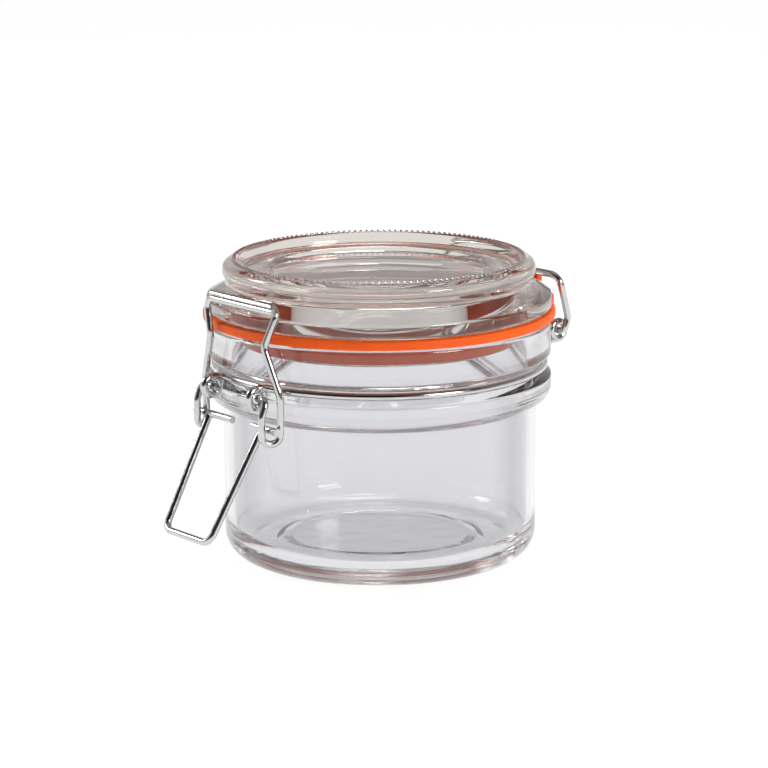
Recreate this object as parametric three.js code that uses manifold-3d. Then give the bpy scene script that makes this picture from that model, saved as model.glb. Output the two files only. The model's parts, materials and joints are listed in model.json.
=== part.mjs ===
// A small preserving jar with a wire bail clamp: pressed glass jar and lid, a rubber
// gasket, and spring-wire hardware. Millimetres, +Z up, the jar stands on z = 0 with its
// axis on Z. The clamp is on the -Y side and the lid's hinge is on the +Y side.
import * as THREE from 'three';
import { mergeVertices } from 'three/addons/utils/BufferGeometryUtils.js';
import Module from 'manifold-3d';

const wasm = await Module();
wasm.setup();

// ---- driving dimensions ----
// jar
const BODY_R = 43.4;
const WALL = 3.0;
const BASE_THICKNESS = 4.5;
const BASE_CORNER_R = 12.0;
const BODY_TOP_Z = 43.4;
const SHOULDER_PROUD = 0.1;
const SHOULDER_Z = 47.6;
const SHOULDER_EASE_R = 0.6;
const SHOULDER_EASE_H = 1.6;
const NECK_R = 47.4;
const NECK_WALL = 6.2;
const RIM_Z = 66.3;
const RIM_EDGE_R = 1.2;
const BASE_STEP_R = 25.3;
const BASE_STEP_H = 0.6;
// wire and its groove round the neck
const WIRE_R = 1.0;
const WIRE_CLEARANCE = 0.3;
const GROOVE_Z = 53.8;
const GROOVE_DEPTH = 3.1;
const GROOVE_FLOOR_H = 2.6;
const GROOVE_MOUTH_H = 5.8;
// gasket
const SEAL_PROUD = 1.1;
const SEAL_H = 2.4;
const SEAL_EDGE_R = 0.6;
const SEAL_INNER_GAP = 0.6;
const SEAT_GAP = 0.3;
const TONGUE_ROOT = 2.0;
const TONGUE_H = 2.0;
const TAB_W = 9.0;
const TAB_LEN = 3.2;
const TAB_H = 5.5;
const TAB_T = 1.8;
const TAB_ANGLE = 8;
const EAR_W = 2.6;
const EAR_LEN = 1.5;
const EAR_H = 2.3;
const EAR_T = 1.2;
const EAR_ANGLE = 26;
// lid
const LID_OVERHANG = 0.1;
const LID_FLANGE_H = 3.7;
const LID_FLANGE_EASE = 0.5;
const LID_SLOPE_INSET = 0.2;
const LID_GROOVE_RISE = 6.9;
const LID_GROOVE_H = 1.4;
const LID_GROOVE_INSET = 5.5;
const LID_BULGE_PROUD = 1.1;
const LID_BULGE_DROP = 3.4;
const LID_RIM_INSET = 3.2;
const LID_RIM_W = 1.0;
const LID_RIM_ROUND_W = 1.2;
const LID_RIM_ROUND_H = 0.5;
const LID_H = 14.1;
const LID_SKIRT_H = 3.6;
const LID_SKIRT_W = 7.0;
const LID_SKIRT_CORNER = 1.5;
const LID_PLUG_H = 5.6;
const LID_PLUG_TAPER = 3.1;
const MOUTH_CLEARANCE = 0.9;
const LID_THICKNESS = 4.6;
const LID_WELL_INSET = 2.9;
const LID_WELL_DEPTH = 3.2;
const LID_DISC_INSET = 7.8;
const LID_DISC_DEPTH = 1.2;
// eyes of the neck wire
const EYE_CLEARANCE = 0.5;
const FRONT_EYE_X = 9.8;
const FRONT_EYE_OUT = 2.85;
const FRONT_EYE_DROP = 1.4;
const REAR_EYE_X = 20.0;
const REAR_EYE_OUT = 3.2;
const REAR_EYE_RISE = 4.8;
// links from the ring to its eyes: degrees from +Y where each leaves the ring and how far
// it still follows it, then steps out from the eye's centre along X, Y and Z
const FRONT_LINK_FROM = 146;
const FRONT_LINK_SWEEP = 10;
const FRONT_LINK = [[4.4, 4.9, 1.5], [1.2, 2.2, 2.0]];
const REAR_LINK_FROM = 46;
const REAR_LINK_SWEEP = -8;
const REAR_LINK = [[5.0, -8.0, -4.6], [2.0, -3.9, -3.8]];
// bail
const BAIL_HALF_W = 14.3;
const BAIL_KINK_HALF_W = 11.6;
const BAIL_LEG_HALF_W = 16.5;
const HAIRPIN_HALF_W = 14.1;
const HAIRPIN_DROP = 11.6;
const HAIRPIN_SPLAY = 1.9;
const RETURN_DROP = 4.2;
const EYE_STUB = 2.2;
const BAR_BEARING = 1.3;
const BAR_LIFT = 1.7;
const BAR_DROP = 0.6;
const BAR_OVERRUN = 0.3;
const KINK_STANDOFF = 0.7;
const KINK_DROP = 0.2;
const KINK_BEND_R = 5.0;
const LEG_BEND_Z = 53.1;
const LEG_BEND_R = 8.0;
// lever
const LEVER_LEN = 33.4;
const LEVER_REST_DEG = 30.5;
const LEVER_TOP_HALF_W = 11.5;
const LEVER_END_HALF_W = 9.7;
const LEVER_BEND_R = 2.8;
const PIN_RISE = 3.6;
const PIN_LEFT_TAIL = 10.0;
const PIN_RIGHT_TAIL = 4.0;
const PIN_OVERRUN = 0.4;
const PIN_LAP = 2.0;
// rear bracket
const BRACKET_SIDE_GAP = 0.2;
const BRACKET_BEARING = 0.7;
const BRACKET_STUB = 2.6;
const BRACKET_LEG_OUT = 1.5;
const BRACKET_LEG_RISE = 3.8;
const BRACKET_STUB_BEND_R = 1.6;
const BRACKET_TOP_BEND_R = 3.4;
// bends of the bail: beside its eye, in the return leg and at the top
const STUB_BEND_R = 2.0;
const LEG_TURN_R = 3.2;
const TOP_BEND_R = 2.6;
// facets
const ROUND_SEGMENTS = 48;
const WIRE_SIDES = 8;
const BEND_STEP_DEG = 30;
const EYE_SEGMENTS = 20;
const LINK_STEPS = 10;

// ---- sizes and places that follow from them ----
const SHOULDER_R = NECK_R + SHOULDER_PROUD;
const GROOVE_R = NECK_R - GROOVE_DEPTH;
const SEAL_R = NECK_R + SEAL_PROUD;
const LID_FLANGE_R = NECK_R + LID_OVERHANG;
const LID_GROOVE_R = LID_FLANGE_R - LID_GROOVE_INSET;
const LID_BULGE_R = LID_GROOVE_R + LID_BULGE_PROUD;
const LID_RIM_R = LID_BULGE_R - LID_RIM_INSET;
const LID_WELL_R = LID_RIM_R - LID_WELL_INSET;
const LID_DISC_R = LID_WELL_R - LID_DISC_INSET;
const WIRE_PITCH = 2 * WIRE_R + WIRE_CLEARANCE;
const HAIRPIN_BEND_R = WIRE_PITCH - 0.02;
const EYE_R = 2 * WIRE_R + EYE_CLEARANCE;
const RING_R = GROOVE_R + WIRE_CLEARANCE + WIRE_R;
const SEAL_Z = RIM_Z + SEAT_GAP;
const LID_Z = SEAL_Z + SEAL_H + SEAT_GAP;
const MOUTH_R = NECK_R - NECK_WALL;
const SKIRT_R = MOUTH_R - MOUTH_CLEARANCE;
const FLANGE_TOP_R = LID_FLANGE_R - LID_SLOPE_INSET;
const FLANGE_TOP_Z = LID_Z + LID_FLANGE_H;
const LID_GROOVE_Z = LID_Z + LID_GROOVE_RISE;
const FLANGE_SLOPE = (LID_GROOVE_Z - FLANGE_TOP_Z) / (FLANGE_TOP_R - LID_GROOVE_R);
const LEG_Y = -(Math.max(SHOULDER_R, BODY_R) + WIRE_CLEARANCE / 2);
const FRONT_EYE_Y = LEG_Y - FRONT_EYE_OUT;
const FRONT_EYE = new THREE.Vector3(FRONT_EYE_X, FRONT_EYE_Y, GROOVE_Z - FRONT_EYE_DROP);
const REAR_EYE_Y = RING_R + REAR_EYE_OUT;
const REAR_EYE = new THREE.Vector3(REAR_EYE_X, REAR_EYE_Y, GROOVE_Z + REAR_EYE_RISE);
const KINK_Y = -(SEAL_R + KINK_STANDOFF);
const KINK_Z = RIM_Z - KINK_DROP;
const RETURN_Y = LEG_Y - 2 * WIRE_PITCH;
const PIN_Y = LEG_Y - WIRE_PITCH;
const HAIRPIN_Z = FRONT_EYE.z - HAIRPIN_DROP;
const PIN_Z = HAIRPIN_Z + PIN_RISE;

// Height of the lid flange's sloping top at a radius.
function flangeTop(radius) {
  return FLANGE_TOP_Z + (FLANGE_TOP_R - radius) * FLANGE_SLOPE;
}

// ---- outlines ----
// Points of a circular arc in a profile, from one angle to another in degrees.
function arc(r, z, radius, fromDeg, toDeg, steps) {
  const points = [];
  for (let i = 0; i <= steps; i += 1) {
    const angle = THREE.MathUtils.degToRad(fromDeg + ((toDeg - fromDeg) * i) / steps);
    points.push([r + radius * Math.cos(angle), z + radius * Math.sin(angle)]);
  }
  return points;
}

// A body turned about Z from a profile of [radius, height] points.
function turned(profile) {
  const points = profile.map(([r, z]) => new THREE.Vector2(r, z));
  return new THREE.LatheGeometry(points, ROUND_SEGMENTS).rotateX(Math.PI / 2);
}

// ---- joining ----
function solidOf(geometry) {
  const bare = geometry.index ? geometry.toNonIndexed() : geometry.clone();
  bare.deleteAttribute('normal');
  bare.deleteAttribute('uv');
  const merged = mergeVertices(bare, 1e-4);
  return new wasm.Manifold(new wasm.Mesh({
    numProp: 3,
    vertProperties: merged.attributes.position.array,
    triVerts: new Uint32Array(merged.index.array),
  }));
}

function joined(geometries) {
  const solids = geometries.map(solidOf);
  const whole = solids.reduce((sum, solid) => sum.add(solid));
  const mesh = whole.getMesh();
  const geometry = new THREE.BufferGeometry();
  geometry.setAttribute('position', new THREE.BufferAttribute(mesh.vertProperties, 3));
  geometry.setIndex(new THREE.BufferAttribute(mesh.triVerts, 1));
  return geometry;
}

// ---- wire ----
// A path whose steps fall on its own stations, so that bends stay round.
class StationPath extends THREE.Curve {
  constructor(stations) {
    super();
    this.stations = stations;
  }

  getPoint(t) {
    const last = this.stations.length - 1;
    const i = Math.min(Math.floor(t * last + 1e-6), last - 1);
    return this.stations[i].at.clone().lerp(this.stations[i + 1].at, t * last - i);
  }

  getPointAt(t) {
    return this.getPoint(t);
  }

  getTangentAt(t) {
    return this.stations[Math.round(t * (this.stations.length - 1))].along.clone();
  }
}

// Stations of a wire that runs straight between corners and is bent at a radius in each.
// A corner is [x, y, z, radius]; the first and last are the wire's ends.
function bentStations(corners) {
  const points = corners.map(([x, y, z]) => new THREE.Vector3(x, y, z));
  const stations = [];
  const heading = (i) => points[i + 1].clone().sub(points[i]).normalize();
  stations.push({ at: points[0], along: heading(0) });
  for (let i = 1; i < points.length - 1; i += 1) {
    const before = heading(i - 1);
    const after = heading(i);
    const turn = before.angleTo(after);
    const radius = corners[i][3];
    const start = points[i].clone().addScaledVector(before, -radius * Math.tan(turn / 2));
    const inward = after.clone().addScaledVector(before, -after.dot(before)).normalize();
    const centre = start.clone().addScaledVector(inward, radius);
    const steps = Math.max(1, Math.round(THREE.MathUtils.radToDeg(turn) / BEND_STEP_DEG));
    for (let k = 0; k <= steps; k += 1) {
      const angle = (turn * k) / steps;
      const [sin, cos] = [Math.sin(angle), Math.cos(angle)];
      const out = inward.clone().multiplyScalar(-cos).addScaledVector(before, sin);
      const along = inward.clone().multiplyScalar(sin).addScaledVector(before, cos);
      stations.push({ at: centre.clone().addScaledVector(out, radius), along });
    }
  }
  stations.push({ at: points[points.length - 1], along: heading(points.length - 2) });
  return stations;
}

// Stations along a smooth curve through points.
function smoothStations(points, steps) {
  const curve = new THREE.CatmullRomCurve3(points);
  const stations = [];
  for (let i = 0; i <= steps; i += 1) {
    stations.push({ at: curve.getPointAt(i / steps), along: curve.getTangentAt(i / steps) });
  }
  return stations;
}

function wire(stations) {
  const section = new THREE.Shape();
  for (let i = 0; i < WIRE_SIDES; i += 1) {
    const angle = (2 * Math.PI * (i + 0.5)) / WIRE_SIDES;
    const point = [WIRE_R * Math.cos(angle), WIRE_R * Math.sin(angle)];
    if (i === 0) section.moveTo(...point);
    else section.lineTo(...point);
  }
  return new THREE.ExtrudeGeometry(section, {
    steps: stations.length - 1,
    bevelEnabled: false,
    extrudePath: new StationPath(stations),
  });
}

// A straight wire along X.
function crossPin(fromX, toX, y, z) {
  return wire(bentStations([[fromX, y, z], [toX, y, z]]));
}

// A round eye of wire whose axis is along X.
function eye(centre, side) {
  const ring = new THREE.TorusGeometry(EYE_R, WIRE_R, WIRE_SIDES, EYE_SEGMENTS);
  return ring.rotateY(Math.PI / 2).translate(side * centre.x, centre.y, centre.z);
}

// ---- glass ----
function glassJar() {
  const innerR = BODY_R - WALL;
  const innerCorner = BASE_CORNER_R - WALL;
  return turned([
    [0, 0],
    ...arc(BODY_R - BASE_CORNER_R, BASE_CORNER_R, BASE_CORNER_R, -90, 0, 6),
    [BODY_R, BODY_TOP_Z],
    [SHOULDER_R - SHOULDER_EASE_R, SHOULDER_Z - SHOULDER_EASE_H],
    [SHOULDER_R, SHOULDER_Z],
    [SHOULDER_R, GROOVE_Z - GROOVE_MOUTH_H / 2],
    [GROOVE_R, GROOVE_Z - GROOVE_FLOOR_H / 2],
    [GROOVE_R, GROOVE_Z + GROOVE_FLOOR_H / 2],
    [NECK_R, GROOVE_Z + GROOVE_MOUTH_H / 2],
    ...arc(NECK_R - RIM_EDGE_R, RIM_Z - RIM_EDGE_R, RIM_EDGE_R, 0, 90, 3),
    ...arc(MOUTH_R + RIM_EDGE_R, RIM_Z - RIM_EDGE_R, RIM_EDGE_R, 90, 180, 3),
    [MOUTH_R, SHOULDER_Z],
    [innerR, BODY_TOP_Z],
    ...arc(innerR - innerCorner, BASE_THICKNESS + innerCorner, innerCorner, 0, -90, 4),
    [BASE_STEP_R + BASE_STEP_H, BASE_THICKNESS],
    [BASE_STEP_R, BASE_THICKNESS + BASE_STEP_H],
    [0, BASE_THICKNESS + BASE_STEP_H],
  ]);
}

function glassLid() {
  const topZ = LID_Z + LID_H;
  const wellZ = topZ - LID_WELL_DEPTH;
  const discZ = wellZ - LID_DISC_DEPTH;
  const undersideZ = discZ - LID_THICKNESS;
  const hollowR = SKIRT_R - LID_SKIRT_W;
  const skirtZ = LID_Z - LID_SKIRT_H;
  const plugZ = skirtZ - LID_PLUG_H;
  return turned([
    [0, undersideZ],
    [hollowR - LID_SKIRT_CORNER, undersideZ],
    [hollowR, undersideZ - LID_SKIRT_CORNER],
    [hollowR, plugZ],
    [SKIRT_R - LID_PLUG_TAPER, plugZ],
    [SKIRT_R, skirtZ],
    [SKIRT_R, LID_Z],
    [LID_FLANGE_R - LID_FLANGE_EASE, LID_Z],
    [LID_FLANGE_R, LID_Z + LID_FLANGE_EASE],
    [LID_FLANGE_R, FLANGE_TOP_Z - LID_FLANGE_EASE],
    [FLANGE_TOP_R, FLANGE_TOP_Z],
    [LID_GROOVE_R, LID_GROOVE_Z],
    [LID_GROOVE_R, LID_GROOVE_Z + LID_GROOVE_H],
    [LID_BULGE_R, topZ - LID_BULGE_DROP],
    [LID_RIM_R + LID_RIM_ROUND_W, topZ - LID_RIM_ROUND_H],
    [LID_RIM_R, topZ],
    [LID_RIM_R - LID_RIM_W, topZ],
    [LID_WELL_R, wellZ],
    [LID_DISC_R + LID_DISC_DEPTH, wellZ],
    [LID_DISC_R, discZ],
    [0, discZ],
  ]);
}

// ---- gasket ----
// An ear stands up just outside the lid's flange, on a tongue of the ring. Its angle is
// from +Y towards +X.
function ear(width, length, height, thickness, angle) {
  const tongueLen = length + TONGUE_ROOT;
  const outerR = SEAL_R + length;
  const middleZ = SEAL_Z + SEAL_H / 2;
  const tongue = new THREE.BoxGeometry(tongueLen, width, TONGUE_H);
  tongue.translate(outerR - tongueLen / 2, 0, middleZ);
  const upright = new THREE.BoxGeometry(thickness, width, height);
  upright.translate(outerR - thickness / 2, 0, middleZ + height / 2);
  const turn = THREE.MathUtils.degToRad(90 - angle);
  return [tongue.rotateZ(turn), upright.rotateZ(turn)];
}

function rubberSeal() {
  const innerR = SKIRT_R + SEAL_INNER_GAP;
  const top = SEAL_Z + SEAL_H;
  const ring = turned([
    [innerR, SEAL_Z],
    [SEAL_R - SEAL_EDGE_R, SEAL_Z],
    [SEAL_R, SEAL_Z + SEAL_EDGE_R],
    [SEAL_R, top - SEAL_EDGE_R],
    [SEAL_R - SEAL_EDGE_R, top],
    [innerR, top],
    [innerR, SEAL_Z],
  ]);
  const pullTab = ear(TAB_W, TAB_LEN, TAB_H, TAB_T, TAB_ANGLE);
  const smallEar = ear(EAR_W, EAR_LEN, EAR_H, EAR_T, EAR_ANGLE);
  return joined([ring, ...pullTab, ...smallEar]);
}

// ---- neck wire ----
// A stretch of wire that leaves the ring at one angle from +Y and runs to an eye's edge.
function eyeLink(leaveDeg, sweepDeg, centre, steps, endZ, side) {
  const points = [];
  for (let i = 0; i <= 2; i += 1) {
    const angle = THREE.MathUtils.degToRad(leaveDeg + (sweepDeg * i) / 2);
    const across = side * RING_R * Math.sin(angle);
    points.push(new THREE.Vector3(across, RING_R * Math.cos(angle), GROOVE_Z));
  }
  for (const [x, y, z] of steps) {
    points.push(new THREE.Vector3(side * (centre.x + x), centre.y + y, centre.z + z));
  }
  points.push(new THREE.Vector3(side * centre.x, centre.y, centre.z + endZ));
  return wire(smoothStations(points, LINK_STEPS));
}

function neckRing() {
  const ring = new THREE.TorusGeometry(RING_R, WIRE_R, WIRE_SIDES, ROUND_SEGMENTS);
  ring.translate(0, 0, GROOVE_Z);
  const pieces = [ring];
  for (const side of [-1, 1]) {
    pieces.push(eye(FRONT_EYE, side));
    pieces.push(eyeLink(FRONT_LINK_FROM, FRONT_LINK_SWEEP, FRONT_EYE, FRONT_LINK, EYE_R, side));
    pieces.push(eye(REAR_EYE, side));
    pieces.push(eyeLink(REAR_LINK_FROM, REAR_LINK_SWEEP, REAR_EYE, REAR_LINK, -EYE_R, side));
  }
  return joined(pieces);
}

// ---- bail ----
// Half of the bail: eye stub, return leg, hairpin, main leg and one bar of the top.
function bailWire(side, barY, barZ) {
  return wire(bentStations([
    [side * (FRONT_EYE.x - EYE_STUB), FRONT_EYE.y, FRONT_EYE.z],
    [side * HAIRPIN_HALF_W, FRONT_EYE.y, FRONT_EYE.z, STUB_BEND_R],
    [side * HAIRPIN_HALF_W, RETURN_Y, FRONT_EYE.z - RETURN_DROP, LEG_TURN_R],
    [side * HAIRPIN_HALF_W, RETURN_Y, HAIRPIN_Z, HAIRPIN_BEND_R],
    [side * (HAIRPIN_HALF_W + HAIRPIN_SPLAY), LEG_Y, HAIRPIN_Z, HAIRPIN_BEND_R],
    [side * BAIL_LEG_HALF_W, LEG_Y, LEG_BEND_Z, LEG_BEND_R],
    [side * BAIL_KINK_HALF_W, KINK_Y, KINK_Z, KINK_BEND_R],
    [side * BAIL_HALF_W, barY, barZ, TOP_BEND_R],
    [-side * (BAIL_HALF_W + BAR_OVERRUN), barY, barZ],
  ]));
}

// The inner bar bears on the lid's flange, and the outer one lies against it.
const BAR_R = LID_FLANGE_R - BAR_BEARING;
const INNER_BAR_Y = -BAR_R;
const INNER_BAR_Z = flangeTop(BAR_R) + WIRE_R + BAR_LIFT;
const OUTER_BAR_Y = INNER_BAR_Y - Math.sqrt(WIRE_PITCH ** 2 - BAR_DROP ** 2);
const OUTER_BAR_Z = INNER_BAR_Z - BAR_DROP;

// ---- lever ----
function leverHandle() {
  const lean = THREE.MathUtils.degToRad(LEVER_REST_DEG);
  const endY = PIN_Y - LEVER_LEN * Math.sin(lean);
  const endZ = PIN_Z - LEVER_LEN * Math.cos(lean);
  const outerX = BAIL_LEG_HALF_W + WIRE_R + PIN_OVERRUN;
  const loop = wire(bentStations([
    [-outerX, PIN_Y, PIN_Z],
    [-LEVER_TOP_HALF_W, PIN_Y, PIN_Z, WIRE_R],
    [-LEVER_END_HALF_W, endY, endZ, LEVER_BEND_R],
    [LEVER_END_HALF_W, endY, endZ, LEVER_BEND_R],
    [LEVER_TOP_HALF_W, PIN_Y, PIN_Z, WIRE_R],
    [outerX, PIN_Y, PIN_Z],
  ]));
  const lapX = LEVER_TOP_HALF_W + PIN_LAP;
  const left = crossPin(-lapX, PIN_LEFT_TAIL - LEVER_TOP_HALF_W, PIN_Y, PIN_Z);
  const right = crossPin(LEVER_TOP_HALF_W - PIN_RIGHT_TAIL, lapX, PIN_Y, PIN_Z);
  return joined([loop, left, right]);
}

// ---- rear bracket ----
function rearBracket() {
  const barY = LID_FLANGE_R - BRACKET_BEARING;
  const barZ = flangeTop(barY) + WIRE_R / Math.cos(Math.atan(FLANGE_SLOPE)) + SEAT_GAP;
  const legX = REAR_EYE.x + WIRE_PITCH + BRACKET_SIDE_GAP;
  const legY = REAR_EYE.y + BRACKET_LEG_OUT;
  const half = [
    [REAR_EYE.x - BRACKET_STUB, REAR_EYE.y, REAR_EYE.z],
    [legX, REAR_EYE.y, REAR_EYE.z, BRACKET_STUB_BEND_R],
    [legX, legY, REAR_EYE.z + BRACKET_LEG_RISE, LEG_TURN_R],
    [legX, barY, barZ, BRACKET_TOP_BEND_R],
  ];
  const mirrored = half.map(([x, y, z, r]) => [-x, y, z, r]);
  return wire(bentStations([...mirrored, ...half.reverse()]));
}

// ---- the jar ----
const GLASS = { color: 0xe9eeee, roughness: 0.03, transparent: true, opacity: 0.4 };
const RUBBER = { color: 0xf25c12, roughness: 0.5 };
const STEEL = { color: 0xc9cccf, roughness: 0.18, metalness: 1.0 };

function piece(name, geometry, finish) {
  const mesh = new THREE.Mesh(geometry, new THREE.MeshStandardMaterial(finish));
  mesh.name = name;
  return mesh;
}

const jar = new THREE.Group();
const container = new THREE.Group();
container.add(piece('glass_jar', glassJar(), GLASS));
container.add(piece('neck_ring', neckRing(), STEEL));
const cover = new THREE.Group();
cover.add(piece('glass_lid', glassLid(), GLASS));
cover.add(piece('rubber_seal', rubberSeal(), RUBBER));
cover.add(piece('rear_bracket', rearBracket(), STEEL));
const bail = new THREE.Group();
bail.add(piece('bail_wire_left', bailWire(-1, OUTER_BAR_Y, OUTER_BAR_Z), STEEL));
bail.add(piece('bail_wire_right', bailWire(1, INNER_BAR_Y, INNER_BAR_Z), STEEL));
const lever = new THREE.Group();
lever.add(piece('lever_handle', leverHandle(), STEEL));
bail.add(lever);
jar.add(container, cover, bail);

export default jar;
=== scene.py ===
"""Builds a small preserving jar with a wire bail clamp and sets it on a plain stage."""

import json
import math

import bpy
from mathutils import Matrix, Vector


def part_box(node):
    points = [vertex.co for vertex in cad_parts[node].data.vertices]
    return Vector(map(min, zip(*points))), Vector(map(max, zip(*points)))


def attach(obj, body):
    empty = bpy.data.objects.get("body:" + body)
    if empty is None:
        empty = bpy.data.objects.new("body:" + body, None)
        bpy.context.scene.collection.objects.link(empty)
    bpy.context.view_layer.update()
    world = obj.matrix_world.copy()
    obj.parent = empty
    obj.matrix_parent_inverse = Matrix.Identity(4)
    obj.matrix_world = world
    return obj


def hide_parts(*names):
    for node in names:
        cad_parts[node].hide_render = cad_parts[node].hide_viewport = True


bl_info = {
    "name": "Bail Clamp Jar",
    "version": (1, 0, 0),
    "blender": (4, 5, 0),
    "location": "3D View > Sidebar > Jar",
    "description": "Models a glass jar with a hinged lid, a gasket and wire hardware",
    "category": "Add Mesh",
}

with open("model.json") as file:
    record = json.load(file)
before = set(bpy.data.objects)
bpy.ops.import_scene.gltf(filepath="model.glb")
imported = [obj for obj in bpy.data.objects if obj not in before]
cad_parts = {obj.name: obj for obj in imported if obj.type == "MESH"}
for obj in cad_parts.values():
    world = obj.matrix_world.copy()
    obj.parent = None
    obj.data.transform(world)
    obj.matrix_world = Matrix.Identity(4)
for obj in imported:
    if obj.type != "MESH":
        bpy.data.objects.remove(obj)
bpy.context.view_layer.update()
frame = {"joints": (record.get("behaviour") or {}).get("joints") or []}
MM = 0.001
JAR_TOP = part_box("glass_jar")[1].z / MM
LID_LOW, LID_HIGH = (corner.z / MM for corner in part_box("glass_lid"))
LID_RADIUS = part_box("glass_lid")[1].y / MM
SEAL_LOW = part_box("rubber_seal")[0].z / MM
SEAL_RADIUS = -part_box("rubber_seal")[0].y / MM
JOINT = {joint["name"]: Vector(joint["pos_m"]) / MM for joint in frame["joints"]}
SMOOTH_ANGLE = math.radians(40)
MERGE_DISTANCE = 0.002 * MM
ARC_STEP = 12
BEND_STEP = 10
WIRE_SIDES = 20
ROUND_STEPS = 160


def length(name, millimetres, text):
    """A size property, stated in millimetres."""
    return bpy.props.FloatProperty(
        name=name,
        description=text,
        default=millimetres * MM,
        min=0.0,
        subtype="DISTANCE",
        unit="LENGTH",
    )


def colour(name, rgb, text):
    """A colour property."""
    return bpy.props.FloatVectorProperty(
        name=name, description=text, default=rgb, min=0.0, max=1.0, subtype="COLOR"
    )


class JAR_PG_glass(bpy.types.PropertyGroup):
    """Sizes and colour of the pressed glass."""

    body_radius: length("Body radius", 43.4, "Outside of the straight body")
    neck_radius: length("Neck radius", 47.4, "Outside of the neck and the shoulder")
    wall: length("Wall", 3.0, "Thickness of the body")
    neck_wall: length("Neck wall", 6.2, "Thickness of the neck")
    base: length("Base", 4.5, "Thickness of the base")
    corner: length("Base corner", 12.0, "Rounding between base and body")
    groove: length("Groove depth", 3.1, "Depth of the groove that the neck wire lies in")
    body_top: length("Body top", 43.4, "Height at which the body ends")
    shoulder_height: length("Shoulder height", 47.6, "Height of the shoulder's widest line")
    groove_height: length("Groove height", 53.8, "Height of the neck wire")
    jar_tint: colour("Jar tint", (0.80, 0.80, 0.82), "Colour of the jar's glass")
    # the lid's glass colour is partly its own and partly painted shade: darker and warmer than
    # the jar's glass
    lid_tint_and_shade: colour("Lid tint", (0.70, 0.675, 0.63), "Colour of the lid's glass")


class JAR_PG_gasket(bpy.types.PropertyGroup):
    """Sizes and colour of the rubber gasket."""

    height: length("Height", 2.4, "Thickness of the ring")
    edge: length("Edge", 0.6, "Rounding of its edges")
    rubber: colour("Rubber", (1.0, 0.125, 0.005), "Colour of the rubber")


class JAR_PG_wire(bpy.types.PropertyGroup):
    """Size and colour of the spring wire."""

    radius: length("Radius", 1.0, "Half of the wire's thickness")
    bend: length("Bend", 2.8, "Inside line of the lever's corner bends")
    steel: colour("Steel", (0.64, 0.64, 0.635), "Colour of the bright wire")


# ---- modelling helpers; sizes inside a piece are in millimetres ----
def deselect():
    """Leaves nothing selected."""
    if bpy.context.object and bpy.context.object.mode != "OBJECT":
        bpy.ops.object.mode_set(mode="OBJECT")
    bpy.ops.object.select_all(action="DESELECT")


def start(name, position, sides, radius, turn=(0, 0, 0)):
    """Adds a circle at its place, opens it for editing with all of it selected."""
    deselect()
    bpy.ops.mesh.primitive_circle_add(
        vertices=sides,
        radius=radius * MM,
        location=Vector(position) * MM,
        rotation=turn,
    )
    piece = bpy.context.object
    piece.name = piece.data.name = name
    bpy.ops.object.transform_apply(location=True, rotation=True, scale=True)
    bpy.ops.object.mode_set(mode="EDIT")
    bpy.ops.mesh.select_mode(type="VERT")
    bpy.ops.mesh.select_all(action="SELECT")
    return piece


def pick(piece, wanted):
    """Opens a piece for editing with only those faces selected whose place and normal fit."""
    bpy.ops.object.mode_set(mode="EDIT")
    bpy.ops.mesh.select_mode(type="FACE")
    bpy.ops.mesh.select_all(action="DESELECT")
    bpy.ops.object.mode_set(mode="OBJECT")
    for face in piece.data.polygons:
        face.select = wanted(face.center / MM, face.normal)
    bpy.ops.object.mode_set(mode="EDIT")


def extrude(step):
    """Extrudes what is selected by a step in millimetres."""
    bpy.ops.mesh.extrude_region_move(TRANSFORM_OT_translate={"value": Vector(step) * MM})


def closed(piece):
    """Merges doubles, points the faces outwards and smooths the finished piece."""
    bpy.ops.mesh.select_all(action="SELECT")
    bpy.ops.mesh.remove_doubles(threshold=MERGE_DISTANCE)
    bpy.ops.mesh.select_all(action="DESELECT")
    bpy.ops.mesh.select_non_manifold(extend=False)
    bpy.ops.mesh.fill_holes(sides=0)
    bpy.ops.mesh.select_all(action="SELECT")
    bpy.ops.mesh.normals_make_consistent(inside=False)
    bpy.ops.object.mode_set(mode="OBJECT")
    bpy.ops.object.shade_smooth_by_angle(angle=SMOOTH_ANGLE)
    return piece


def rounded(corners):
    """Points of an outline whose corners, given as (radius, height, rounding), are arcs."""
    points = [Vector((r, z)) for r, z, _ in corners]
    outline = [points[0]]
    for before, here, after, corner in zip(points, points[1:], points[2:], corners[1:]):
        back, on = (before - here).normalized(), (after - here).normalized()
        half = back.angle(on, 0.0) / 2
        reach = corner[2] / math.tan(half) if corner[2] else 0.0
        if reach < 0.01:
            outline.append(here)
            continue
        reach = min(reach, (before - here).length * 0.5, (after - here).length * 0.5)
        radius = reach * math.tan(half)
        centre = here + (back + on).normalized() * (radius / math.sin(half))
        first = here + back * reach - centre
        turn = first.angle_signed(here + on * reach - centre)
        steps = max(2, round(math.degrees(abs(turn)) / ARC_STEP))
        for i in range(steps + 1):
            outline.append(centre + Matrix.Rotation(-turn * i / steps, 2) @ first)
    outline.append(points[-1])
    return outline


def turned(name, corners, steps=ROUND_STEPS, ring=False):
    """A body spun about the jar's axis from a rounded outline."""
    outline = rounded(corners)
    piece = start(name, (outline[0].x, 0, outline[0].y), sides=3, radius=0.01)
    bpy.ops.mesh.merge(type="CENTER")
    for here, there in zip(outline, outline[1:]):
        extrude((there.x - here.x, 0, there.y - here.y))
    if ring:
        extrude((outline[0].x - outline[-1].x, 0, outline[0].y - outline[-1].y))
    bpy.ops.mesh.select_all(action="SELECT")
    bpy.ops.mesh.spin(steps=steps, angle=math.tau, center=(0, 0, 0), axis=(0, 0, 1))
    return closed(piece)


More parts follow.
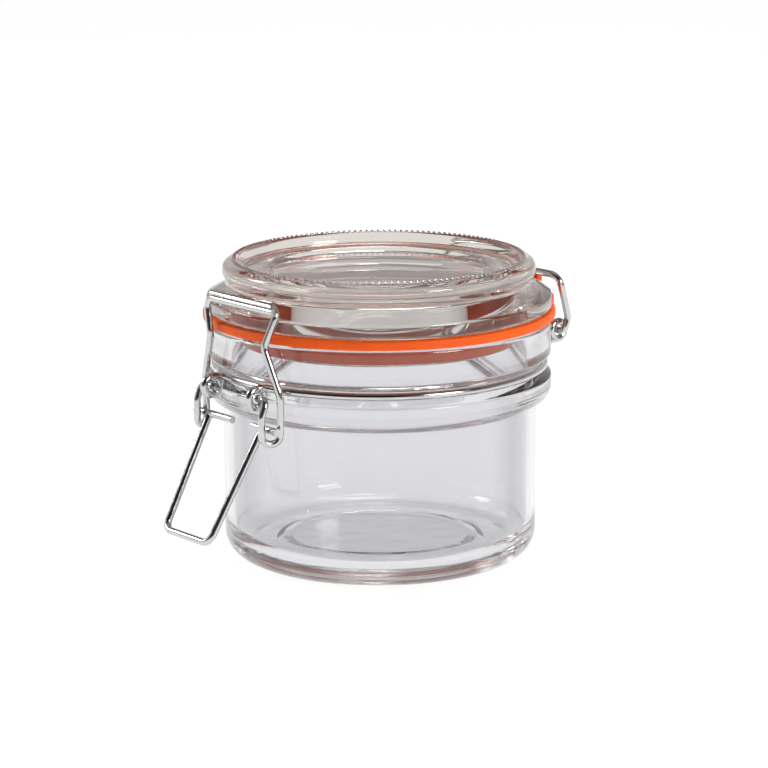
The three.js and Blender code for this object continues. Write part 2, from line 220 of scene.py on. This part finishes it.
def bent_wire(name, corners, radius, curl=None):
    """A wire that runs straight between corners (x, y, z, bend) and is bent in each.

    curl is (centre, axis, degrees) of a last bend at the wire's end.
    """
    points = [Vector(corner[:3]) for corner in corners]
    ways = [(there - here).normalized() for here, there in zip(points, points[1:])]
    turn = ways[0].to_track_quat("Z", "Y").to_euler()
    piece = start(name, points[0], WIRE_SIDES, radius, turn)
    at = points[0]
    for here, way, leave, corner in zip(points[1:], ways, ways[1:], corners[1:]):
        angle = way.angle(leave)
        bend_start = here - way * corner[3] * math.tan(angle / 2)
        inward = (leave - way * leave.dot(way)).normalized()
        centre = bend_start + inward * corner[3]
        axis = way.cross(leave).normalized()
        extrude(bend_start - at)
        steps = max(2, round(math.degrees(angle) / BEND_STEP))
        bpy.ops.mesh.spin(steps=steps, angle=-angle, center=centre * MM, axis=axis)
        at = centre - inward * corner[3] * math.cos(angle) + way * corner[3] * math.sin(angle)
    extrude(points[-1] - at)
    if curl:
        centre, axis, degrees = curl
        bpy.ops.mesh.spin(
            steps=max(2, round(abs(degrees) / ARC_STEP)),
            angle=-math.radians(degrees),
            center=Vector(centre) * MM,
            axis=axis,
        )
    return closed(piece)


def join(name, parts):
    """Joins finished parts into one piece."""
    deselect()
    for part in parts:
        part.select_set(True)
    bpy.context.view_layer.objects.active = parts[0]
    bpy.ops.object.join()
    parts[0].name = parts[0].data.name = name
    return parts[0]


def place(piece, body, stands_for, material):
    """Gives a finished piece its material and its body, and hides the node that it stands for.
    """
    piece.data.materials.clear()
    piece.data.materials.append(material)
    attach(piece, body)
    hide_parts(stands_for)


# ---- materials ----
def shader(name):
    """A new node material: its tree and its Principled shader."""
    material = bpy.data.materials.new(name)
    material.use_nodes = True
    return material, material.node_tree, material.node_tree.nodes["Principled BSDF"]


def node(tree, kind, **inputs):
    """Adds a node and sets its inputs by name, with underscores for spaces."""
    made = tree.nodes.new(kind)
    for key, value in inputs.items():
        made.inputs[key.replace("_", " ")].default_value = value
    return made


def ramp(tree, value, stops):
    """A colour ramp over a value, from (position, colour) stops."""
    made = tree.nodes.new("ShaderNodeValToRGB")
    elements = made.color_ramp.elements
    while len(elements) < len(stops):
        elements.new(0.5)
    for element, (position, rgb) in zip(elements, stops):
        element.position = position
        element.color = (*rgb, 1.0)
    tree.links.new(value, made.inputs["Fac"])
    return made.outputs["Color"]


def noise(tree, scale, detail=2.0, stretch=(1, 1, 1)):
    """Noise on Object coordinates, with the pattern stretched along an axis."""
    spot = tree.nodes.new("ShaderNodeTexCoord")
    mapping = tree.nodes.new("ShaderNodeMapping")
    mapping.inputs["Scale"].default_value = stretch
    made = node(tree, "ShaderNodeTexNoise", Scale=scale, Detail=detail)
    tree.links.new(spot.outputs["Object"], mapping.inputs["Vector"])
    tree.links.new(mapping.outputs["Vector"], made.inputs["Vector"])
    return made.outputs["Fac"]


def bump(tree, shader_, height, strength, distance):
    """Connects a height to the shader's normal."""
    made = node(tree, "ShaderNodeBump", Strength=strength, Distance=distance)
    tree.links.new(height, made.inputs["Height"])
    tree.links.new(made.outputs["Normal"], shader_.inputs["Normal"])


def pressed_glass(name, tint, depth, waves):
    """Clear pressed glass with the soft waves of a mould, its tint darkened along its edges by
    viewing angle: painted shade, partly standing for thicker glass.
    """
    material, tree, glass = shader(name)
    edge = node(tree, "ShaderNodeLayerWeight", Blend=0.5)
    deep = tuple(c * depth for c in tint)
    rim = tuple(c * (1.0 + depth) / 2 for c in tint)
    # painted shade: the tint darkens in bands where the glass is seen at a slant, partly for the
    # longer path through thicker glass
    thickness_and_edge_shade = ramp(tree, edge.outputs["Facing"], [
        (0.35, tuple(tint)), (0.6, rim), (0.8, tuple(tint)), (0.97, deep),
    ])
    tree.links.new(thickness_and_edge_shade, glass.inputs["Base Color"])
    glass.inputs["Transmission Weight"].default_value = 1.0
    glass.inputs["IOR"].default_value = 1.5
    soft = ramp(tree, noise(tree, 60.0), [(0.3, (0.0,) * 3), (0.8, (0.02,) * 3)])
    tree.links.new(soft, glass.inputs["Roughness"])
    bump(tree, glass, noise(tree, 75.0, 1.5, (1, 1, 0.22)), waves, 0.5 * MM)
    return material


def gasket_rubber(rubber):
    """Orange rubber with a faint bloom and a fine skin."""
    material, tree, skin = shader("gasket_rubber")
    deep = tuple(c * 0.86 for c in rubber)
    fresh = ramp(tree, noise(tree, 180.0, 4.0), [(0.3, deep), (0.75, tuple(rubber))])
    tree.links.new(fresh, skin.inputs["Base Color"])
    skin.inputs["Roughness"].default_value = 0.5
    skin.inputs["Specular IOR Level"].default_value = 0.25
    skin.inputs["Subsurface Weight"].default_value = 0.25
    skin.inputs["Subsurface Radius"].default_value = (1.0, 0.35, 0.08)
    skin.inputs["Subsurface Scale"].default_value = 1.5 * MM
    bump(tree, skin, noise(tree, 2500.0, 3.0), 0.12, 0.05 * MM)
    return material


def bright_wire(steel):
    """Bright drawn wire with a faint drawing grain and small rubbed patches."""
    material, tree, metal = shader("bright_wire")
    metal.inputs["Metallic"].default_value = 1.0
    worn = tuple(c * 0.9 for c in steel)
    tone = ramp(tree, noise(tree, 260.0, 3.0), [(0.35, worn), (0.7, tuple(steel))])
    tree.links.new(tone, metal.inputs["Base Color"])
    rough = ramp(tree, noise(tree, 420.0, 4.0), [(0.3, (0.1,) * 3), (0.8, (0.24,) * 3)])
    tree.links.new(rough, metal.inputs["Roughness"])
    bump(tree, metal, noise(tree, 900.0, 2.0), 0.08, 0.05 * MM)
    return material


def wire_material():
    """The one material that all the wires share."""
    made = bpy.data.materials.get("bright_wire")
    return made or bright_wire(bpy.context.scene.jar_wire.steel)


# ---- the pieces ----
class JAR_OT_jar(bpy.types.Operator):
    """The glass jar, spun from its outline"""

    bl_idname = "jar.jar"
    bl_label = "Glass Jar"

    def execute(self, context):
        glass = context.scene.jar_glass
        body, neck, wall = (v / MM for v in (glass.body_radius, glass.neck_radius, glass.wall))
        mouth = neck - glass.neck_wall / MM
        base, corner, groove = (v / MM for v in (glass.base, glass.corner, glass.groove))
        groove_z, shoulder_z = glass.groove_height / MM, glass.shoulder_height / MM
        body_top = glass.body_top / MM
        step = 25.3
        jar = turned("jar_glass", [
            (0, 0.7, 0),
            (step + 1.0, 0.6, 2.5),
            (step + 4.0, 0.0, 2.5),
            (body, 0.0, corner),
            (body, body_top + 0.4, 1.2),
            (neck - 0.9, body_top + 1.6, 1.4),
            (neck + 0.1, shoulder_z - 0.6, 1.8),
            (neck + 0.1, groove_z - 2.9, 0.9),
            (neck - groove, groove_z - 1.3, 1.1),
            (neck - groove, groove_z + 1.3, 1.1),
            (neck, groove_z + 2.9, 0.9),
            (neck, JAR_TOP, 1.2),
            (mouth, JAR_TOP, 1.2),
            (mouth, shoulder_z, 4.0),
            (body - wall, body_top, 4.0),
            (body - wall, base, corner - wall),
            (step + 1.6, base, 1.6),
            (step - 0.6, base + 0.55, 1.6),
            (0, base + 0.6, 0),
        ])
        material = pressed_glass("jar_glass_clear", glass.jar_tint, depth=0.4, waves=0.3)
        place(jar, "container", "glass_jar", material)
        return {"FINISHED"}


class JAR_OT_lid(bpy.types.Operator):
    """The glass lid, spun from its outline, with a row of beads on its rim"""

    bl_idname = "jar.lid"
    bl_label = "Glass Lid"

    def execute(self, context):
        glass = context.scene.jar_glass
        flange = LID_RADIUS
        seat = LID_LOW + 9.2
        top = LID_HIGH
        rim = flange - 7.6
        skirt = flange - 7.2
        well, disc = rim - 2.9, rim - 10.7
        count = round(math.tau * rim / 1.65)
        lid = turned("lid_glass", [
            (0, top - 9.0, 0),
            (skirt - 7.0, top - 9.0, 1.8),
            (skirt - 7.0, LID_LOW, 1.2),
            (skirt - 3.1, LID_LOW, 1.2),
            (skirt, seat - 3.6, 2.0),
            (skirt, seat, 0.8),
            (flange, seat, 0.8),
            (flange, seat + 3.7, 1.0),
            (flange - 5.5, seat + 6.9, 1.2),
            (flange - 5.5, seat + 8.0, 0.8),
            (flange - 4.4, seat + 9.8, 1.4),
            (flange - 4.5, top - 1.9, 2.4),
            (rim + 1.3, top - 0.9, 0.8),
            (rim + 0.4, top - 0.6, 0.0),
            (rim - 0.4, top - 0.6, 0.0),
            (rim - 1.1, top - 0.9, 0.8),
            (well, top - 3.2, 1.4),
            (disc + 1.2, top - 3.2, 0.8),
            (disc, top - 4.4, 0.8),
            (0, top - 4.4, 0),
        ], steps=2 * count)
        self.bead(lid, count, rim, top - 0.9)
        # the lid's tint carries painted shade as well as the glass's own colour
        material = pressed_glass("lid_glass_clear", glass.lid_tint_and_shade, depth=0.8, waves=0.08)
        place(lid, "cover", "glass_lid", material)
        return {"FINISHED"}

    @staticmethod
    def bead(lid, count, rim, above):
        """Presses a row of small beads out of every second face of the lid's rim."""
        def on_bead(centre, _):
            turn = math.atan2(centre.y, centre.x) / math.pi * count
            on_rim = abs(math.hypot(centre.x, centre.y) - rim) < 0.45 and centre.z > above
            return on_rim and math.floor(turn) % 2 == 0

        pick(lid, on_bead)
        bpy.ops.mesh.inset(thickness=0.16 * MM, depth=0.5 * MM, use_individual=True)
        bpy.ops.object.mode_set(mode="OBJECT")


class JAR_OT_gasket(bpy.types.Operator):
    """The rubber gasket with its pull tab and small ear"""

    bl_idname = "jar.gasket"
    bl_label = "Gasket"

    def execute(self, context):
        gasket = context.scene.jar_gasket
        height, edge = gasket.height / MM, gasket.edge / MM
        middle = SEAL_LOW + height / 2
        inner = LID_RADIUS - 6.6
        outer = SEAL_RADIUS
        plug = inner - 2.8
        ring = turned("ring", [
            (plug, LID_LOW + 1.2, 0),
            (plug + 0.6, LID_LOW + 1.0, 0.2),
            (inner + 0.7, SEAL_LOW, 0.3),
            (outer, SEAL_LOW, edge),
            (outer, SEAL_LOW + height, edge),
            (inner, SEAL_LOW + height, 0.3),
            (inner - 0.15, SEAL_LOW - 0.6, 0.5),
        ], ring=True)
        parts = [ring]
        for width, reach, tall, thickness_and_edge_shade, degrees in (
            (9.0, 3.2, 5.5, 1.8, 8.0),
            (2.6, 1.5, 2.3, 1.2, 26.0),
        ):
            parts.append(self.ear(width, reach, tall, thickness_and_edge_shade, degrees, outer, middle))
        piece = join("gasket", parts)
        place(piece, "cover", "rubber_seal", gasket_rubber(gasket.rubber))
        return {"FINISHED"}

    @staticmethod
    def ear(width, reach, tall, thickness_and_edge_shade, degrees, outer, middle):
        """An ear that stands up outside the ring: a tongue face extruded out and then up."""
        deselect()
        bpy.ops.mesh.primitive_cube_add(size=1.0)
        ear = bpy.context.object
        ear.scale = Vector((reach + 2.0 - thickness_and_edge_shade, width, 2.0)) * MM
        ear.location = Vector((outer - 2.0 + (reach + 2.0 - thickness_and_edge_shade) / 2, 0, middle)) * MM
        bpy.ops.object.transform_apply(location=True, rotation=True, scale=True)
        pick(ear, lambda _, normal: normal.x > 0.9)
        extrude((thickness_and_edge_shade, 0, 0))
        edge = outer + reach - thickness_and_edge_shade / 2
        pick(ear, lambda centre, normal: normal.z > 0.9 and abs(centre.x - edge) < thickness_and_edge_shade / 2)
        extrude((0, 0, tall - 1.0))
        bpy.ops.mesh.select_all(action="SELECT")
        bpy.ops.mesh.normals_make_consistent(inside=False)
        bpy.ops.object.mode_set(mode="OBJECT")
        bevel = ear.modifiers.new("soft edges", "BEVEL")
        bevel.width = 0.35 * MM
        bevel.segments = 3
        bpy.ops.object.modifier_apply(modifier=bevel.name)
        ear.rotation_euler.z = math.radians(90 - degrees)
        bpy.ops.object.transform_apply(location=True, rotation=True, scale=True)
        bpy.ops.object.shade_smooth_by_angle(angle=SMOOTH_ANGLE)
        return ear


class JAR_OT_neck_wire(bpy.types.Operator):
    """The wire round the neck, with its two front and two rear eyes"""

    bl_idname = "jar.neck_wire"
    bl_label = "Neck Wire"

    def execute(self, context):
        wire = context.scene.jar_wire.radius / MM
        glass = context.scene.jar_glass
        ring_r = glass.neck_radius / MM - 1.8
        level = glass.groove_height / MM
        parts = []
        ring = start("ring", (ring_r, 0, level), WIRE_SIDES, wire, (math.pi / 2, 0, 0))
        bpy.ops.mesh.spin(steps=ROUND_STEPS, angle=math.tau, center=(0, 0, 0), axis=(0, 0, 1))
        parts.append(closed(ring))
        front, rear = JOINT["bail_swing"], JOINT["lid_hinge"]
        turn = 2 * wire + 0.5
        for side in (-1, 1):
            x = side * 9.8
            parts.append(bent_wire("front_eye", [
                (side * 18.5, -41.7, level),
                (side * 13.5, -45.0, level + 0.2, 4.0),
                (x, front.y + 2.1, front.z + turn, 2.5),
                (x, front.y, front.z + turn),
            ], wire, ((x, front.y, front.z), (1, 0, 0), 338)))
            x = side * 20.0
            parts.append(bent_wire("rear_eye", [
                (side * 28.1, 35.9, level),
                (side * 24.6, 39.6, level + 0.3, 4.0),
                (x, rear.y - 3.2, rear.z - turn, 3.0),
                (x, rear.y, rear.z - turn),
            ], wire, ((x, rear.y, rear.z), (1, 0, 0), 338)))
        place(join("neck_wire", parts), "container", "neck_ring", wire_material())
        return {"FINISHED"}


class JAR_OT_bail(bpy.types.Operator):
    """The bail: two bent wires with hairpins, spot-welded where their bars meet"""

    bl_idname = "jar.bail"
    bl_label = "Bail"

    def execute(self, context):
        wire = context.scene.jar_wire.radius / MM
        pitch = 2 * wire + 0.3
        eye = JOINT["bail_swing"]
        leg_y = -(context.scene.jar_glass.neck_radius / MM + 0.25)
        return_y = leg_y - 2 * pitch
        bottom = eye.z - 11.6
        for side, piece_name, cad, bar_y in (
            (-1, "bail_left", "bail_wire_left", -48.42),
            (1, "bail_right", "bail_wire_right", -46.2),
        ):
            bar_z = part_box(cad)[1].z / MM - wire
            piece = bent_wire(piece_name, [
                (side * 7.6, eye.y, eye.z),
                (side * 14.1, eye.y, eye.z, 2.0),
                (side * 14.1, return_y, eye.z - 4.2, 3.2),
                (side * 14.1, return_y, bottom, pitch - 0.02),
                (side * 16.0, leg_y, bottom, pitch - 0.02),
                (side * 16.5, leg_y, 53.1, 8.0),
                (side * 11.6, -49.2, JAR_TOP - 0.2, 4.0),
                (side * 14.3, bar_y, bar_z, 2.6),
                (side * -14.6, bar_y, bar_z),
            ], wire)
            place(piece, "bail", cad, wire_material())
        return {"FINISHED"}


class JAR_OT_lever(bpy.types.Operator):
    """The lever: a long wire loop whose ends turn in the bail's hairpins"""

    bl_idname = "jar.lever"
    bl_label = "Lever"

    def execute(self, context):
        wire = context.scene.jar_wire
        radius, bend = wire.radius / MM, wire.bend / MM
        pin = JOINT["lever_swing"]
        lean = math.radians(30.5)
        reach = 33.4
        end_y, end_z = pin.y - reach * math.sin(lean), pin.z - reach * math.cos(lean)
        loop = bent_wire("loop", [
            (-17.9, pin.y, pin.z),
            (-11.5, pin.y, pin.z, 1.0),
            (-9.7, end_y, end_z, bend),
            (9.7, end_y, end_z, bend),
            (11.5, pin.y, pin.z, 1.0),
            (17.9, pin.y, pin.z),
        ], radius)
        left = bent_wire("left", [(-13.5, pin.y, pin.z), (-1.5, pin.y, pin.z)], radius)
        right = bent_wire("right", [(7.5, pin.y, pin.z), (13.5, pin.y, pin.z)], radius)
        piece = join("lever", [loop, left, right])
        place(piece, "lever", "lever_handle", wire_material())
        return {"FINISHED"}


class JAR_OT_rear_bracket(bpy.types.Operator):
    """The wire bracket that joins the lid to the rear eyes"""

    bl_idname = "jar.rear_bracket"
    bl_label = "Rear Bracket"

    def execute(self, context):
        wire = context.scene.jar_wire.radius / MM
        eye = JOINT["lid_hinge"]
        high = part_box("rear_bracket")[1]
        bar_y, bar_z = LID_RADIUS - 0.7, high.z / MM - wire
        half = [
            (17.4, eye.y, eye.z, 0),
            (22.5, eye.y, eye.z, 1.6),
            (22.5, eye.y + 1.5, eye.z + 3.8, 3.2),
            (22.5, bar_y, bar_z, 3.4),
        ]
        left = [(-x, y, z, bend) for x, y, z, bend in half]
        piece = bent_wire("rear_wire_bracket", left + half[::-1], wire)
        place(piece, "cover", "rear_bracket", wire_material())
        return {"FINISHED"}


class JAR_OT_stage(bpy.types.Operator):
    """The pale floor, the soft studio light and the camera"""

    bl_idname = "jar.stage"
    bl_label = "Stage"

    def execute(self, context):
        scene = context.scene
        scene.view_settings.view_transform = "Standard"
        scene.cycles.max_bounces = 24
        scene.cycles.glossy_bounces = 16
        scene.cycles.transmission_bounces = 20
        self.floor()
        self.sky(scene)
        self.lights()
        self.camera(scene)
        return {"FINISHED"}

    @staticmethod
    def floor():
        """A wide pale floor."""
        deselect()
        bpy.ops.mesh.primitive_circle_add(vertices=64, radius=6.0, fill_type="NGON")
        floor = bpy.context.object
        floor.name = "floor"
        floor.location.z = -0.0002
        material, tree, paint = shader("floor_paint")
        pale = ramp(tree, noise(tree, 3.0), [(0.3, (0.11,) * 3), (0.7, (0.13,) * 3)])
        tree.links.new(pale, paint.inputs["Base Color"])
        paint.inputs["Roughness"].default_value = 0.9
        paint.inputs["Emission Color"].default_value = (1.0, 1.0, 1.0, 1.0)
        paint.inputs["Emission Strength"].default_value = 0.93
        floor.data.materials.append(material)

    @staticmethod
    def sky(scene):
        """A white surround that is darker overhead, seen plain white by the camera."""
        world = bpy.data.worlds.new("studio")
        scene.world = world
        world.use_nodes = True
        tree = world.node_tree
        tree.nodes.clear()
        around_us = tree.nodes.new("ShaderNodeTexCoord")
        front = tree.nodes.new("ShaderNodeVectorMath")
        front.operation = "DOT_PRODUCT"
        front.inputs[1].default_value = (0.77, -0.64, 0.0)
        tree.links.new(around_us.outputs["Generated"], front.inputs[0])
        split = tree.nodes.new("ShaderNodeSeparateXYZ")
        tree.links.new(around_us.outputs["Generated"], split.inputs["Vector"])
        room = ramp(tree, front.outputs["Value"], [
            (0.0, (0.85,) * 3), (0.15, (0.45,) * 3), (0.45, (0.13,) * 3), (1.0, (0.05,) * 3),
        ])
        above = ramp(tree, split.outputs["Z"], [
            (0.0, (0.9,) * 3), (0.1, (0.7,) * 3), (0.3, (0.7, 0.69, 0.675)),
            (0.5, (0.2, 0.185, 0.17)), (0.8, (0.22, 0.21, 0.2)), (0.97, (0.55,) * 3),
        ])
        shade = tree.nodes.new("ShaderNodeMixRGB")
        shade.blend_type = "MULTIPLY"
        shade.inputs["Fac"].default_value = 1.0
        tree.links.new(room, shade.inputs["Color1"])
        tree.links.new(above, shade.inputs["Color2"])
        around = tree.nodes.new("ShaderNodeBackground")
        tree.links.new(shade.outputs["Color"], around.inputs["Color"])
        plain = node(tree, "ShaderNodeBackground", Color=(1.0, 1.0, 1.0, 1.0))
        ray = tree.nodes.new("ShaderNodeLightPath")
        mix = tree.nodes.new("ShaderNodeMixShader")
        out = tree.nodes.new("ShaderNodeOutputWorld")
        tree.links.new(ray.outputs["Is Camera Ray"], mix.inputs["Fac"])
        tree.links.new(around.outputs["Background"], mix.inputs[1])
        tree.links.new(plain.outputs["Background"], mix.inputs[2])
        tree.links.new(mix.outputs["Shader"], out.inputs["Surface"])

    @staticmethod
    def lights():
        """Soft boxes: a large one overhead, one at the left and one at the right."""
        for name, position, size, power in (
            ("overhead_box", (-0.1, 0.25, 1.1), 0.5, 10.0),
            ("left_box", (-0.8, -0.5, 0.6), 0.3, 4.0),
            ("right_box", (1.0, 0.1, 0.5), 0.35, 6.0),
        ):
            data = bpy.data.lights.new(name, "AREA")
            data.shape = "RECTANGLE"
            data.size = data.size_y = size
            data.energy = power
            lamp = bpy.data.objects.new(name, data)
            lamp.location = position
            lamp.visible_glossy = name != "overhead_box"
            aim = Vector((0.0, 0.0, 0.04)) - lamp.location
            lamp.rotation_euler = aim.to_track_quat("-Z", "Y").to_euler()
            bpy.context.scene.collection.objects.link(lamp)

    @staticmethod
    def camera(scene):
        """A long lens a little above the jar, clamp to the left."""
        azimuth, elevation, distance = math.radians(50.0), math.radians(13.06), 0.80167
        target = Vector((0.0, 0.0, 0.0446))
        back = Vector((
            math.sin(azimuth) * math.cos(elevation),
            -math.cos(azimuth) * math.cos(elevation),
            math.sin(elevation),
        ))
        data = bpy.data.cameras.new("camera")
        data.lens = 135.6
        data.sensor_width = 36.0
        data.shift_x, data.shift_y = 0.0058, 0.0106
        data.clip_start, data.clip_end = 0.05, 50.0
        camera = bpy.data.objects.new("camera", data)
        camera.location = target + back * distance
        level = (-back).to_track_quat("-Z", "Y").to_matrix()
        roll = Matrix.Rotation(math.radians(-0.285), 3, "Z")
        camera.rotation_euler = (level @ roll).to_euler()
        scene.collection.objects.link(camera)
        scene.camera = camera


class JAR_PT_panel(bpy.types.Panel):
    """Lists the jar's sizes and pieces"""

    bl_idname = "JAR_PT_panel"
    bl_label = "Bail Clamp Jar"
    bl_space_type = "VIEW_3D"
    bl_region_type = "UI"
    bl_category = "Jar"

    def draw(self, context):
        for group in (context.scene.jar_glass, context.scene.jar_gasket, context.scene.jar_wire):
            box = self.layout.box()
            for name in group.__annotations__:
                box.prop(group, name)
        for operator in OPERATORS:
            self.layout.operator(operator.bl_idname)


GROUPS = {"jar_glass": JAR_PG_glass, "jar_gasket": JAR_PG_gasket, "jar_wire": JAR_PG_wire}
OPERATORS = (
    JAR_OT_jar,
    JAR_OT_lid,
    JAR_OT_gasket,
    JAR_OT_neck_wire,
    JAR_OT_bail,
    JAR_OT_lever,
    JAR_OT_rear_bracket,
    JAR_OT_stage,
)


def register():
    """Registers the classes and the property groups."""
    for made in (*GROUPS.values(), *OPERATORS, JAR_PT_panel):
        bpy.utils.register_class(made)
    for name, group in GROUPS.items():
        setattr(bpy.types.Scene, name, bpy.props.PointerProperty(type=group))


def unregister():
    """Removes what register added."""
    for name in GROUPS:
        delattr(bpy.types.Scene, name)
    for made in (JAR_PT_panel, *reversed(OPERATORS), *reversed(GROUPS.values())):
        bpy.utils.unregister_class(made)


def main():
    register()
    bpy.ops.jar.jar()
    bpy.ops.jar.lid()
    bpy.ops.jar.gasket()
    bpy.ops.jar.neck_wire()
    bpy.ops.jar.bail()
    bpy.ops.jar.lever()
    bpy.ops.jar.rear_bracket()
    bpy.ops.jar.stage()


if __name__ == "__main__":
    main()
